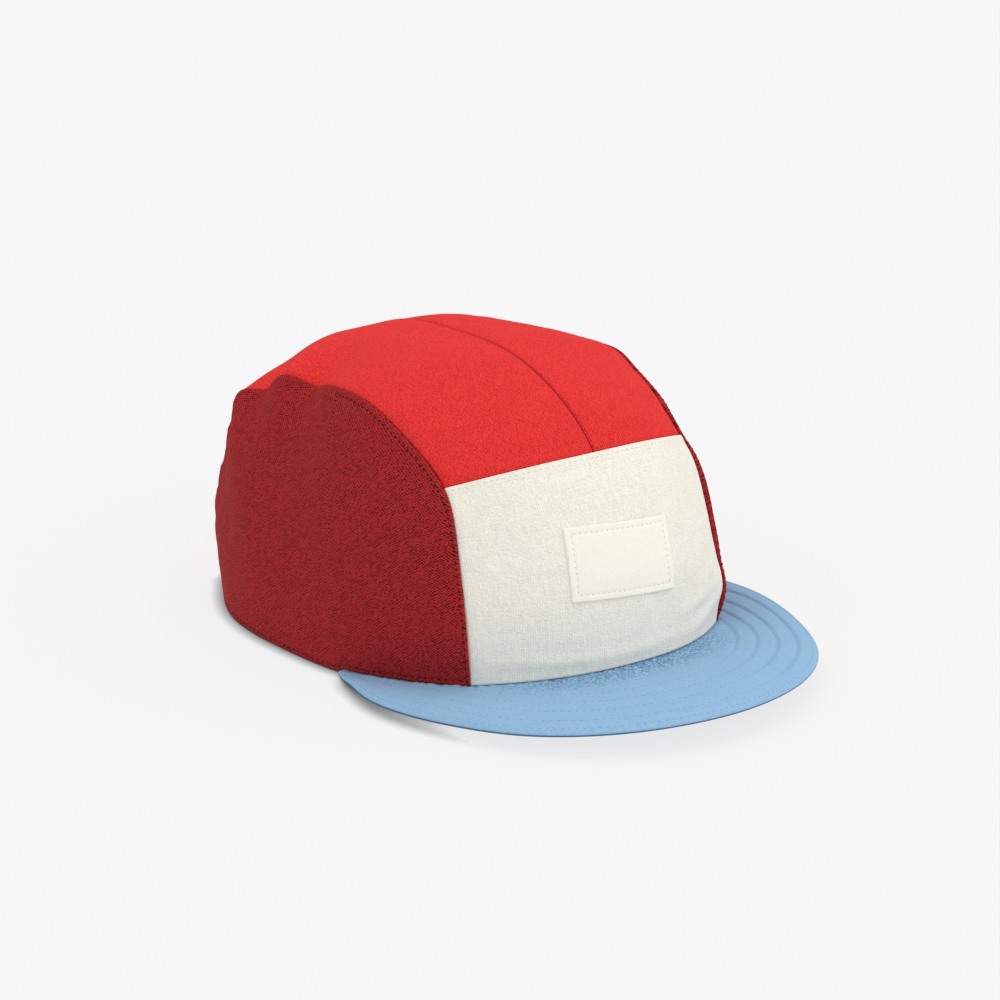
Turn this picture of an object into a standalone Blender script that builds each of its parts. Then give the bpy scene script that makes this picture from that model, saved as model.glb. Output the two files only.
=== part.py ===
import bpy
import bmesh
import math
import numpy as np
from mathutils import Vector

# A child's five panel linen cap. The peak points to -Y, X is across, Z is up.
# Every length is in metres. The crown is open below and stands on its hem.

for oldItem in list(bpy.data.objects):
    bpy.data.objects.remove(oldItem, do_unlink=True)

# Sizes of the crown
hemHalfWidth = 0.075        # widest half width of the hem oval
frontReach = 0.0865         # middle of the front hem, from the centre of the head
backReach = 0.099           # middle of the back hem, from the centre of the head
seamHalfWidth = 0.051       # half distance between the two side seams
seamHeight = 0.089          # top of the side seams
crownHeight = 0.100         # top of the crown
panelWall = 0.0018          # linen with its lining
seamGap = 0.0003            # clearance between two sewn pieces
frontTopStation = 0.29      # where the front panel meets the two top panels
stripRound = 2.3            # how square the cross section of the strip is
seamTurn = 0.012            # near a seam two panels turn to face one way over this length
cornerTrim = 0.0018         # cut from the two pointed ends of a side panel

# Sizes of the peak
peakDepth = 0.0514          # from the middle of the front hem to the rim
peakOverhang = 0.0065       # at its widest the rim stands this far outside the hem
peakHalfWidth = hemHalfWidth + peakOverhang
peakWall = 0.0024           # two layers and a stiffener
peakTipWall = 0.0010        # the layers alone, at the two tips
peakTipReach = 0.017        # where the tips meet the side hem
peakTipTaper = 0.025        # length of the thinning towards the left tip
rightTipTaper = 0.014       # the right side of the peak stands up sooner
rimWall = 0.0014            # the sewn edge of the rim
rimSlope = 0.05             # share of the peak over which its top falls to that edge
rimMiddleLift = 0.0088      # underside of the rim above the table, in the middle
rimSideLift = 0.0034        # the same at the widest place on the left
rightSideLift = 0.0041      # the same on the right
peakSwell = 0.0010          # the soft rise between the hem and the rim
swellFade = 0.33            # share of a half over which that rise dies out towards a tip
seatShare = 0.6             # at most this much of a short row lies under the hem
frontHemLift = 0.0098       # the front hem above the table
hemStepLength = 0.007       # the side hem comes down behind a tip over this length
tipSeat = 0.0009            # a tip ends this far outside the side hem

# Sizes of the sewn on patch
patchWidth = 0.0405
patchHeight = 0.0247
patchWall = 0.0009
patchHeightOnPanel = 0.0358 # middle of the patch, measured up the cloth from the hem
patchAcross = -0.0013       # and a little to the left of the panel's middle
patchTilt = math.radians(-4.5)

# Gathers along the side seams
puckerHeight = 0.0050
puckerSpread = 0.015        # how far a gather runs into the cloth
puckerFoot = 0.006          # a gather starts over this height above the hem

# The side hem from the front corner to the back corner:
# half width as a share of hemHalfWidth, reach as a share of frontReach or backReach
hemTable = [
    {"name": "front corner", "width": 0.685, "reach": -0.755},
    {"name": "temple", "width": 0.785, "reach": -0.590},
    {"name": "before the ear", "width": 0.868, "reach": -0.405},
    {"name": "peak tip", "width": 0.957, "reach": -0.150},
    {"name": "over the ear", "width": 1.004, "reach": 0.156},
    {"name": "behind the ear", "width": 0.975, "reach": 0.504},
    {"name": "back corner", "width": 0.749, "reach": 0.826},
]

# The side seam over the crown: half width as a share of seamHalfWidth,
# reach as above, height as a share of seamHeight. Both feet stand on the hem.
seamTable = [
    {"name": "brow", "station": 0.10, "width": 1.02, "reach": -0.734, "height": 0.337},
    {"name": "forehead", "station": 0.20, "width": 0.99, "reach": -0.657, "height": 0.589},
    {"name": "front corner", "station": 0.29, "width": 0.96, "reach": -0.543, "height": 0.781},
    {"name": "shoulder", "station": 0.38, "width": 0.98, "reach": -0.310, "height": 0.913},
    {"name": "before the top", "station": 0.46, "width": 1.00, "reach": -0.068, "height": 0.995},
    {"name": "behind the top", "station": 0.54, "width": 0.99, "reach": 0.164, "height": 0.999},
    {"name": "first gather", "station": 0.63, "width": 0.944, "reach": 0.386, "height": 0.948},
    {"name": "second gather", "station": 0.72, "width": 1.027, "reach": 0.679, "height": 0.851},
    {"name": "back of head", "station": 0.81, "width": 1.016, "reach": 0.783, "height": 0.652},
    {"name": "nape", "station": 0.90, "width": 1.002, "reach": 0.886, "height": 0.380},
]

# The middle line over the crown, height as a share of crownHeight
middleTable = [
    {"name": "brow", "station": 0.10, "reach": -0.976, "height": 0.327},
    {"name": "forehead", "station": 0.20, "reach": -0.884, "height": 0.554},
    {"name": "top of the front", "station": 0.29, "reach": -0.731, "height": 0.770},
    {"name": "shoulder", "station": 0.38, "reach": -0.473, "height": 0.925},
    {"name": "before the top", "station": 0.46, "reach": -0.154, "height": 1.000},
    {"name": "behind the top", "station": 0.54, "reach": 0.159, "height": 0.998},
    {"name": "first gather", "station": 0.63, "reach": 0.446, "height": 0.970},
    {"name": "second gather", "station": 0.72, "reach": 0.703, "height": 0.867},
    {"name": "back of head", "station": 0.81, "reach": 0.896, "height": 0.675},
    {"name": "nape", "station": 0.90, "reach": 0.990, "height": 0.372},
]

# Where the gathers are held down along a side seam, how deep they are there,
# and how high the cloth stands before the next one, as shares of puckerHeight
puckerTable = [
    {"station": 0.500, "sunk": 0.00, "rise": 0.15},
    {"station": 0.610, "sunk": 0.56, "rise": 1.20},
    {"station": 0.700, "sunk": 0.68, "rise": 0.58},
    {"station": 0.782, "sunk": 0.00, "rise": 0.34},
    {"station": 0.822, "sunk": -0.06, "rise": 0.26},
    {"station": 0.852, "sunk": 0.00, "rise": 0.30},
    {"station": 0.884, "sunk": 0.00, "rise": 0.32},
    {"station": 0.914, "sunk": -0.04, "rise": 0.30},
    {"station": 0.942, "sunk": -0.04, "rise": 0.28},
    {"station": 0.972, "sunk": 0.00, "rise": 0.16},
    {"station": 1.000, "sunk": 0.00, "rise": 0.00},
]

# The rib of a side panel, from hem to seam, as shares of its length
ribShape = {"hemRise": 0.389, "hemSwell": 0.038, "seamDrop": 0.120, "seamSwell": 0.141}

# The rim of the peak: half width as a share of peakHalfWidth,
# depth as a share of the way from the tips to the rim
rimTable = [
    {"name": "middle", "width": 0.000, "depth": 1.000},
    {"name": "beside the middle", "width": 0.286, "depth": 0.969},
    {"name": "front curve", "width": 0.541, "depth": 0.883},
    {"name": "corner curve", "width": 0.745, "depth": 0.751},
    {"name": "side curve", "width": 0.880, "depth": 0.591},
    {"name": "side", "width": 0.967, "depth": 0.428},
    {"name": "widest", "width": 1.000, "depth": 0.267},
    {"name": "before the tip", "width": 0.957, "depth": 0.129},
]


def splineThrough(knots, values):
    # smooth curve through the rows, with free ends
    knots = np.asarray(knots, float)
    values = np.asarray(values, float)
    count = len(knots)
    steps = np.diff(knots)
    system = np.zeros((count, count))
    right = np.zeros((count, values.shape[1]))
    system[0, 0] = 1.0
    system[-1, -1] = 1.0
    for k in range(1, count - 1):
        system[k, k - 1] = steps[k - 1]
        system[k, k] = 2.0 * (steps[k - 1] + steps[k])
        system[k, k + 1] = steps[k]
        after = (values[k + 1] - values[k]) / steps[k]
        before = (values[k] - values[k - 1]) / steps[k - 1]
        right[k] = 6.0 * (after - before)
    bend = np.linalg.solve(system, right)

    def pointAt(t):
        k = int(np.clip(np.searchsorted(knots, t) - 1, 0, count - 2))
        h = steps[k]
        a = (knots[k + 1] - t) / h
        b = (t - knots[k]) / h
        line = a * values[k] + b * values[k + 1]
        curve = (a ** 3 - a) * bend[k] + (b ** 3 - b) * bend[k + 1]
        return line + curve * h * h / 6.0
    return pointAt


def smoothStep(value):
    value = min(max(value, 0.0), 1.0)
    return value * value * (3.0 - 2.0 * value)


def reachAt(share):
    return share * (frontReach if share < 0.0 else backReach)


def hemHeight(y):
    # the front hem rides on the peak, the rest stands on the table
    tipY = -peakTipReach
    tipHeight = peakTipWall + seamGap
    if y > tipY:
        return tipHeight * smoothStep(1.0 - (y - tipY) / hemStepLength)
    along = min((tipY - y) / (frontReach - peakTipReach), 1.0)
    return tipHeight + (frontHemLift - tipHeight) * along ** 1.3


hemKnots = np.linspace(0.0, 1.0, len(hemTable))
hemPoints = [[row["width"] * hemHalfWidth, reachAt(row["reach"])] for row in hemTable]
hemCurve = splineThrough(hemKnots, hemPoints)


def hemAt(share):
    x, y = hemCurve(share)
    return np.array([x, y, hemHeight(y)])


def sideSeam():
    rows = [hemAt(0.0)]
    for row in seamTable:
        rows.append([row["width"] * seamHalfWidth, reachAt(row["reach"]),
                     row["height"] * seamHeight])
    rows.append(hemAt(1.0))
    knots = [0.0] + [row["station"] for row in seamTable] + [1.0]
    return splineThrough(knots, rows)


def middleLine():
    rows = [[0.0, -frontReach, hemHeight(-frontReach)]]
    for row in middleTable:
        rows.append([0.0, reachAt(row["reach"]), row["height"] * crownHeight])
    rows.append([0.0, backReach, 0.0])
    knots = [0.0] + [row["station"] for row in middleTable] + [1.0]
    return splineThrough(knots, rows)


seamCurve = sideSeam()
middleCurve = middleLine()


def unit(vector):
    return vector / max(np.linalg.norm(vector), 1e-12)


def stripAt(station, across):
    # the front and top panels, between the two side seams
    seam = seamCurve(station)
    middle = middleCurve(station)
    rise = 1.0 - abs(across) ** stripRound
    point = seam + (middle - seam) * rise
    point[0] = seam[0] * across
    return point


seamSamples = np.linspace(0.0, 1.0, 241)
seamSamplePoints = np.array([seamCurve(s) for s in seamSamples])
seamRuns = np.concatenate([[0.0], np.cumsum(
    np.linalg.norm(np.diff(seamSamplePoints, axis=0), axis=1))])


def hemShareAt(station):
    # ribs leave the hem at the share of the seam's length that they reach
    return np.interp(station, seamSamples, seamRuns) / seamRuns[-1]


def hemOutward(share):
    step = 0.002
    ahead = hemCurve(min(share + step, 1.0))
    behind = hemCurve(max(share - step, 0.0))
    along = unit(ahead - behind)
    return np.array([along[1], -along[0], 0.0])


def sideAt(station, up):
    # a side panel's rib, from its hem to the side seam
    share = hemShareAt(station)
    foot = hemAt(share)
    top = seamCurve(station)
    outward = hemOutward(share)
    length = np.linalg.norm(top - foot)
    upward = np.array([0.0, 0.0, 1.0])
    low = foot + length * (ribShape["hemRise"] * upward + ribShape["hemSwell"] * outward)
    high = top + length * (ribShape["seamSwell"] * outward - ribShape["seamDrop"] * upward)
    down = 1.0 - up
    return (down ** 3 * foot + 3.0 * down ** 2 * up * low
            + 3.0 * down * up ** 2 * high + up ** 3 * top)


def stripNormal(station, across):
    step = 0.004
    ahead = stripAt(min(station + step, 1.0), across)
    behind = stripAt(max(station - step, 0.0), across)
    right = stripAt(station, min(across + step, 1.0))
    left = stripAt(station, max(across - step, -1.0))
    return unit(np.cross(right - left, ahead - behind))


def sideNormal(station, up):
    step = 0.004
    ahead = sideAt(min(station + step, 1.0), up)
    behind = sideAt(max(station - step, 0.0), up)
    above = sideAt(station, min(up + step, 1.0))
    below = sideAt(station, max(up - step, 0.0))
    return unit(np.cross(ahead - behind, above - below))


def seamNormal(station):
    # both panels turn in along this direction, so their edges stay apart
    strip = stripNormal(station, 1.0)
    side = sideNormal(station, 0.97)
    return unit(strip + side)


def puckerAt(station):
    for k in range(len(puckerTable) - 1):
        row = puckerTable[k]
        after = puckerTable[k + 1]
        if row["station"] <= station <= after["station"]:
            share = (station - row["station"]) / (after["station"] - row["station"])
            sunk = row["sunk"] * (1.0 - share) + after["sunk"] * share
            return puckerHeight * (row["rise"] * math.sin(math.pi * share) ** 2 - sunk)
    return 0.0


def fade(distance):
    return math.exp(-(distance / puckerSpread) ** 2)


def blendNormal(own, shared, weight):
    return unit(own * (1.0 - weight) + shared * weight)


def flatNormal(normal):
    return unit(np.array([normal[0], normal[1], 0.0]))


def stripPoint(station, across, trim=0.0):
    # a point of the sewn strip with its inward direction
    width = seamCurve(station)[0]
    trimmed = math.copysign(max(abs(across) - trim / width, 0.0), across)
    distance = (1.0 - abs(across)) * width
    shared = seamNormal(station) * np.array([math.copysign(1.0, across), 1.0, 1.0])
    weight = smoothStep(1.0 - distance / seamTurn)
    normal = blendNormal(stripNormal(station, across), shared, weight)
    point = stripAt(station, trimmed)
    point = point + shared * puckerAt(station) * fade(distance)
    if station < 1e-6 or station > 1.0 - 1e-6:
        normal = flatNormal(normal)
    return point, normal


def sidePoint(station, up, trim=0.0):
    point = sideAt(station, up)
    top = seamCurve(station)
    distance = np.linalg.norm(point - top)
    shared = seamNormal(station)
    weight = smoothStep(1.0 - distance / seamTurn)
    normal = blendNormal(sideNormal(station, min(up, 0.97)), shared, weight)
    height = np.linalg.norm(point - hemAt(hemShareAt(station)))
    point = point + shared * puckerAt(station) * fade(distance) * smoothStep(height / puckerFoot)
    if up > 1.0 - 1e-6:
        ahead = seamCurve(min(station + 0.002, 1.0))
        behind = seamCurve(max(station - 0.002, 0.0))
        into = unit(np.cross(unit(ahead - behind), shared))
        inner = sideAt(station, 0.9) - top
        if np.dot(into, inner) < 0.0:
            into = -into
        point = point + into * trim
    if up < 1e-6:
        normal = flatNormal(normal)
    return point, normal


def cloth(name, rows, wall):
    # rows of (outer point, outward direction) become a closed cloth of this wall
    mesh = bpy.data.meshes.new(name)
    body = bmesh.new()
    outer = [[body.verts.new(Vector(p)) for p, n in row] for row in rows]
    inner = [[body.verts.new(Vector(p - n * wall)) for p, n in row] for row in rows]
    tall = len(rows)
    wide = len(rows[0])
    for i in range(tall - 1):
        for j in range(wide - 1):
            body.faces.new((outer[i][j], outer[i][j + 1], outer[i + 1][j + 1], outer[i + 1][j]))
            body.faces.new((inner[i][j], inner[i + 1][j], inner[i + 1][j + 1], inner[i][j + 1]))
    for i in range(tall - 1):
        for j, turn in ((0, False), (wide - 1, True)):
            loop = [outer[i][j], outer[i + 1][j], inner[i + 1][j], inner[i][j]]
            body.faces.new(loop[::-1] if turn else loop)
    for j in range(wide - 1):
        for i, turn in ((0, True), (tall - 1, False)):
            loop = [outer[i][j], outer[i][j + 1], inner[i][j + 1], inner[i][j]]
            body.faces.new(loop[::-1] if turn else loop)
    bmesh.ops.recalc_face_normals(body, faces=body.faces)
    body.to_mesh(mesh)
    body.free()
    mesh.shade_smooth()
    mesh.set_sharp_from_angle(angle=math.radians(50))
    return mesh


def span(first, last, count):
    return [first + (last - first) * k / count for k in range(count + 1)]


def mirrored(rows):
    flip = np.array([-1.0, 1.0, 1.0])
    return [[(point * flip, normal * flip) for point, normal in row] for row in rows]


halfGap = seamGap / 2.0
gapStation = halfGap / seamRuns[-1]
peakSteps = 24
acrossShares = [0.0, 0.24, 0.45, 0.63, 0.77, 0.89, 1.0]
upShares = [0.0, 0.20, 0.42, 0.63, 0.80, 0.92, 1.0]


def frontPanel():
    stations = span(0.0, frontTopStation - gapStation, 18)
    shares = [-a for a in acrossShares[:0:-1]] + acrossShares
    return [[stripPoint(s, a, halfGap if abs(a) == 1.0 else 0.0) for a in shares]
            for s in stations]


def topPanel():
    # the right hand half, from the front panel over the crown down to the back hem
    first = frontTopStation + gapStation
    stations = span(first, 0.5, 11) + span(0.5, 1.0, 46)[1:]
    rows = []
    for s in stations:
        row = []
        for a in acrossShares:
            point, normal = stripPoint(s, a, halfGap if a == 1.0 else 0.0)
            if a == 0.0:
                point[0] = halfGap
                normal[0] = 0.0
            row.append((point, unit(normal)))
        rows.append(row)
    return rows


def sidePanel():
    first = cornerTrim / seamRuns[-1]
    stations = span(first, frontTopStation, 18) + span(frontTopStation, 0.5, 11)[1:]
    stations = stations + span(0.5, 1.0 - first, 46)[1:]
    return [[sidePoint(s, u, halfGap if u == 1.0 else 0.0) for u in upShares]
            for s in stations]


def footLine(count):
    # from the middle of the front hem to a tip of the peak, along the crown's foot
    line = [stripAt(0.0, a) for a in span(0.0, 1.0, 30)]
    share = 0.0
    while hemAt(share)[1] < -peakTipReach:
        line.append(hemAt(share))
        share += 0.01
    line.append(hemAt(share))
    line = np.array(line)
    runs = np.concatenate([[0.0], np.cumsum(np.linalg.norm(np.diff(line, axis=0), axis=1))])
    wanted = np.linspace(0.0, runs[-1], count + 1)
    return np.array([[np.interp(w, runs, line[:, k]) for k in range(3)] for w in wanted])


def rimLine(tip, count):
    deep = frontReach + peakDepth - peakTipReach
    rows = [[row["width"] * peakHalfWidth, -peakTipReach - row["depth"] * deep]
            for row in rimTable]
    rows.append([tip[0] + tipSeat, tip[1]])
    full = [[-x, y] for x, y in rows[:0:-1]] + rows
    curve = splineThrough(np.arange(len(full), dtype=float), full)
    middle = len(rows) - 1
    line = np.array([curve(middle + t) for t in span(0.0, float(middle), 120)])
    runs = np.concatenate([[0.0], np.cumsum(np.linalg.norm(np.diff(line, axis=0), axis=1))])
    wanted = np.linspace(0.0, runs[-1], count + 1)
    return np.array([[np.interp(w, runs, line[:, k]) for k in range(2)] for w in wanted])


def taperAt(y, side):
    # from 0 at a tip of the peak to 1 where it has its full thickness
    return smoothStep((-peakTipReach - y) / (rightTipTaper if side > 0.0 else peakTipTaper))


def peakWallAt(y, full, side):
    thin = min(peakTipWall, full)
    return thin + (full - thin) * taperAt(y, side)


def rimUnderside(x, y, side):
    across = min(abs(x) / peakHalfWidth, 1.0)
    sideLift = rightSideLift if side > 0.0 else rimSideLift
    lift = rimMiddleLift + (sideLift - rimMiddleLift) * across ** 2
    return lift * taperAt(y, side)


def peakHalf(count, side):
    # from the middle to one tip, each row from under the hem out to the rim
    foot = footLine(count)
    rim = rimLine(foot[-1], count)
    half = []
    for k in range(count + 1):
        ahead = foot[min(k + 1, count)]
        behind = foot[max(k - 1, 0)]
        along = unit((ahead - behind)[:2])
        outward = np.array([along[1], -along[0]])
        if k == 0:
            outward = np.array([0.0, -1.0])
        inner = foot[k][:2] - outward * panelWall
        innerTop = foot[k][2] - seamGap
        outer = rim[k]
        innerWall = peakWallAt(inner[1], peakWall, side)
        outerWall = peakWallAt(outer[1], peakWall, side)
        edgeWall = peakWallAt(outer[1], rimWall, side)
        under = rimUnderside(outer[0], outer[1], side)
        seat = min(panelWall / np.linalg.norm(outer - inner), seatShare)
        calm = smoothStep((count - k) / (count * swellFade))
        row = []
        for t in (0.0, 0.16, 0.36, 0.58, 0.80, 1.0 - rimSlope, 1.0):
            flat = inner + (outer - inner) * t
            rise = smoothStep((t - seat) / (1.0 - seat))
            swell = peakSwell * 4.0 * t * (1.0 - t) * calm
            top = innerTop + (under + outerWall - innerTop) * rise + swell
            wall = innerWall * (1.0 - t) + outerWall * t
            if t == 1.0:
                top -= outerWall - edgeWall
                wall = edgeWall
            wall = min(wall, top)       # the underside lies on the table, never below it
            row.append((np.array([flat[0] * side, flat[1], top]), wall))
        half.append(row)
    return half


def peakRows():
    # from the left tip round to the right one
    left = peakHalf(peakSteps, -1.0)
    right = peakHalf(peakSteps, 1.0)
    middle = [((a + b) / 2.0, wall) for (a, wall), (b, _) in zip(left[0], right[0])]
    return left[:0:-1] + [middle] + right[1:]


def peakMesh():
    # the upper face, then its underside straight below it
    upward = np.array([0.0, 0.0, 1.0])
    rows = [[(point, upward * wall) for point, wall in row] for row in peakRows()]
    return cloth("peak", rows, 1.0)


def stationOnMiddle(run):
    # the station at this length of cloth above the front hem, on the middle line
    stations = np.linspace(0.0, 1.0, 241)
    points = np.array([middleCurve(s) for s in stations])
    runs = np.concatenate([[0.0], np.cumsum(np.linalg.norm(np.diff(points, axis=0), axis=1))])
    return float(np.interp(run, runs, stations))


def patchMesh():
    # follows the front panel, a clearance above it
    rows = []
    for up in span(-0.5, 0.5, 6):
        row = []
        for side in span(-0.5, 0.5, 8):
            x = side * patchWidth
            h = up * patchHeight
            turnedX = patchAcross + x * math.cos(patchTilt) - h * math.sin(patchTilt)
            turnedH = x * math.sin(patchTilt) + h * math.cos(patchTilt)
            station = stationOnMiddle(patchHeightOnPanel + turnedH)
            across = turnedX / seamCurve(station)[0]
            point = stripAt(station, across)
            normal = stripNormal(station, across)
            row.append((point + normal * (seamGap + patchWall), normal))
        rows.append(row)
    return cloth("patch", rows, patchWall)


def linear(channel):
    value = channel / 255.0
    return value / 12.92 if value <= 0.04045 else ((value + 0.055) / 1.055) ** 2.4


def paint(name, colour, roughness):
    material = bpy.data.materials.new(name)
    material.use_nodes = True
    shader = material.node_tree.nodes["Principled BSDF"]
    shader.inputs["Base Color"].default_value = [linear(c) for c in colour] + [1.0]
    shader.inputs["Roughness"].default_value = roughness
    shader.inputs["Metallic"].default_value = 0.0
    return material


def addPiece(name, mesh, material, collection, parent):
    piece = bpy.data.objects.new(name, mesh)
    mesh.materials.append(material)
    collection.objects.link(piece)
    piece.parent = parent
    return piece


capCollection = bpy.data.collections.new("linen_cap")
bpy.context.scene.collection.children.link(capCollection)
capBase = bpy.data.objects.new("cap_base", None)
capBase.empty_display_size = 0.03
capCollection.objects.link(capBase)

darkRed = (142, 37, 40)
brightRed = (229, 60, 59)
cream = (238, 235, 225)
patchCream = (239, 236, 227)
skyBlue = (147, 183, 215)

topRows = topPanel()
sideRows = sidePanel()
pieces = [
    addPiece("front_panel", cloth("front_panel", frontPanel(), panelWall),
             paint("cream_linen", cream, 0.9), capCollection, capBase),
    addPiece("top_panel_right", cloth("top_panel_right", topRows, panelWall),
             paint("red_linen_right", brightRed, 0.88), capCollection, capBase),
    addPiece("top_panel_left", cloth("top_panel_left", mirrored(topRows), panelWall),
             paint("red_linen_left", brightRed, 0.88), capCollection, capBase),
    addPiece("side_panel_right", cloth("side_panel_right", sideRows, panelWall),
             paint("dark_red_linen_right", darkRed, 0.9), capCollection, capBase),
    addPiece("side_panel_left", cloth("side_panel_left", mirrored(sideRows), panelWall),
             paint("dark_red_linen_left", darkRed, 0.9), capCollection, capBase),
    addPiece("peak", peakMesh(), paint("blue_linen", skyBlue, 0.85), capCollection, capBase),
    addPiece("patch", patchMesh(), paint("patch_linen", patchCream, 0.85),
             capCollection, capBase),
]

# the empty carries the cap so that its base centre is the origin
allY = [vertex.co.y for piece in pieces for vertex in piece.data.vertices]
allZ = [vertex.co.z for piece in pieces for vertex in piece.data.vertices]
capBase.location = (0.0, -(min(allY) + max(allY)) / 2.0, -min(allZ))
bpy.context.view_layer.update()
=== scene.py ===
import math

import bpy
import numpy as np
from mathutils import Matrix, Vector


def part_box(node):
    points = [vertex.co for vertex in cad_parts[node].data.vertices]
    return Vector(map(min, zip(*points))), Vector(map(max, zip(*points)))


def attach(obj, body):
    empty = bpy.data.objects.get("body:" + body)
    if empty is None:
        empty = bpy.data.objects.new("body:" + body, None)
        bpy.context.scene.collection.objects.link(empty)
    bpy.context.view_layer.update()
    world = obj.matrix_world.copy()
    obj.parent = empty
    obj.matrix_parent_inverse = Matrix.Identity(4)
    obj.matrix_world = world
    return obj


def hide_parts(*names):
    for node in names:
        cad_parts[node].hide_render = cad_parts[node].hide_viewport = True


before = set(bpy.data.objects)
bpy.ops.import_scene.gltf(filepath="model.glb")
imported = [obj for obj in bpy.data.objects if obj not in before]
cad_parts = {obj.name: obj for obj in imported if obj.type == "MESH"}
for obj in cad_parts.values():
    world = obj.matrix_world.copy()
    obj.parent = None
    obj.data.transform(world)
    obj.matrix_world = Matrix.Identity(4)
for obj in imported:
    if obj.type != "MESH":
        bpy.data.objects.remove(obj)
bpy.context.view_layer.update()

# A child's linen cap: five sewn panels, a stitched peak and a bare patch. Metres, peak to -Y.

crown = {
    "hemHalfWidth": 0.075, "frontReach": 0.0865, "backReach": 0.099,
    "seamHalfWidth": 0.051, "seamHeight": 0.089, "crownHeight": 0.100,
    "wall": 0.0018,             # linen with its lining
    "gap": 0.0003,              # between the crown's foot and the peak
    "seamGap": 0.00014,         # between two sewn edges
    "middleGap": 0.00042,       # between the two halves of the top
    "frontTopStation": 0.29,    # where the front panel meets the top
    "stripRound": 2.3,          # how square the strip is across
    "footTurn": 0.004,          # the cloth stands upright this far up from the hem
    "seamTurn": 0.012,          # and leans with its neighbour this far in from the side seam
    "middleTurn": 0.008,        # and from the middle seam
    "calmEdge": 0.004,          # soft waves fade out this far from an edge
    "sharpAngle": 60.0,         # an edge sharper than this stays crisp
}
# tables from front to back, as shares of the sizes above
hemTable = {
    "width": [0.685, 0.785, 0.868, 0.957, 1.004, 0.975, 0.749],
    "reach": [-0.755, -0.590, -0.405, -0.150, 0.156, 0.504, 0.826],
}
seamTable = {
    "station": [0.10, 0.20, 0.29, 0.38, 0.46, 0.54, 0.63, 0.72, 0.81, 0.90],
    "width": [1.02, 0.99, 0.96, 0.98, 1.00, 0.99, 0.944, 1.027, 1.016, 1.002],
    "reach": [-0.734, -0.657, -0.543, -0.310, -0.068, 0.164, 0.386, 0.679, 0.783, 0.886],
    "height": [0.337, 0.589, 0.781, 0.913, 0.995, 0.999, 0.948, 0.851, 0.652, 0.380],
}
middleTable = {
    "station": [0.10, 0.20, 0.29, 0.38, 0.46, 0.54, 0.63, 0.72, 0.81, 0.90],
    "reach": [-0.976, -0.884, -0.731, -0.473, -0.154, 0.159, 0.446, 0.703, 0.896, 0.990],
    "height": [0.327, 0.554, 0.770, 0.925, 1.000, 0.998, 0.970, 0.867, 0.675, 0.372],
}
ribShape = {"hemRise": 0.389, "hemSwell": 0.038, "seamDrop": 0.120, "seamSwell": 0.141}
puckerTable = {
    "station": [0.500, 0.610, 0.700, 0.782, 0.822, 0.852, 0.884, 0.914, 0.942, 0.972, 1.000],
    "sunk": [0.00, 0.56, 0.68, 0.00, -0.06, 0.00, 0.00, -0.04, -0.04, 0.00, 0.00],
    "rise": [0.15, 1.20, 0.58, 0.34, 0.26, 0.30, 0.32, 0.30, 0.28, 0.16, 0.00],
    "height": 0.0050, "spread": 0.015, "foot": 0.006,
}
rightSeam = {       # the right seam stands a little proud in places, lifts in mm
    "station": [0.00, 0.03, 0.06, 0.10, 0.14, 0.19, 0.25, 0.29,
                0.33, 0.38, 0.42, 0.45, 0.48, 0.52, 0.58],
    "lift": [0.0, 0.8, 2.1, 0.2, -0.3, 0.2, 0.6, -0.2,
             -0.2, 0.6, 0.5, 1.0, 0.3, -0.9, 0.0],
    "spread": 0.010,
}
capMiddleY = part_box("front_panel")[0][1] + crown["frontReach"]
flip = np.array([-1.0, 1.0, 1.0])


def splineThrough(knots, values):
    # a smooth line through the rows of a table, straight at both ends
    knots = np.asarray(knots, float)
    values = np.asarray(values, float)
    steps = np.diff(knots)
    slopes = np.diff(values, axis=0) / steps[:, None]
    count = len(knots)
    system = np.eye(count)
    right = np.zeros_like(values)
    for k in range(1, count - 1):
        system[k, k - 1:k + 2] = steps[k - 1], 2.0 * (steps[k - 1] + steps[k]), steps[k]
        right[k] = 6.0 * (slopes[k] - slopes[k - 1])
    bend = np.linalg.solve(system, right)

    def pointsAt(t):
        t = np.atleast_1d(np.asarray(t, float))
        k = np.clip(np.searchsorted(knots, t) - 1, 0, count - 2)
        h = steps[k][:, None]
        a = (knots[k + 1] - t)[:, None] / h
        b = (t - knots[k])[:, None] / h
        line = a * values[k] + b * values[k + 1]
        curve = (a ** 3 - a) * bend[k] + (b ** 3 - b) * bend[k + 1]
        return line + curve * h * h / 6.0
    return pointsAt


def smoothStep(value):
    value = np.clip(value, 0.0, 1.0)
    return value * value * (3.0 - 2.0 * value)


def unit(vectors):
    return vectors / np.maximum(np.linalg.norm(vectors, axis=-1, keepdims=True), 1e-12)


def softNoise(points, size, seed):
    # smooth random waves between -1 and 1, about this far apart
    table = np.random.default_rng(seed).uniform(-1.0, 1.0, 4096)
    mixers = (73856093, 19349663, 83492791)
    scaled = points / size
    cell = np.floor(scaled).astype(np.int64)
    part = scaled - cell
    part = part * part * (3.0 - 2.0 * part)
    total = np.zeros(points.shape[:-1])
    for corner in np.ndindex(2, 2, 2):
        spot = cell + np.array(corner)
        key = spot[..., 0] * mixers[0] ^ spot[..., 1] * mixers[1] ^ spot[..., 2] * mixers[2]
        weight = np.prod(np.where(np.array(corner) == 1, part, 1.0 - part), axis=-1)
        total = total + table[key & 4095] * weight
    return total


def softWaves(points, panel, seed):
    return (softNoise(points, panel["waveSize"], seed) * panel["waves"]
            + softNoise(points, panel["rippleSize"], seed + 1) * panel["ripples"])


def runsAlong(points, axis=0):
    # lengths along a line from its first point
    steps = np.linalg.norm(np.diff(points, axis=axis), axis=-1)
    start = np.zeros_like(np.take(steps, [0], axis=axis))
    return np.concatenate([start, np.cumsum(steps, axis=axis)], axis=axis)


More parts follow.
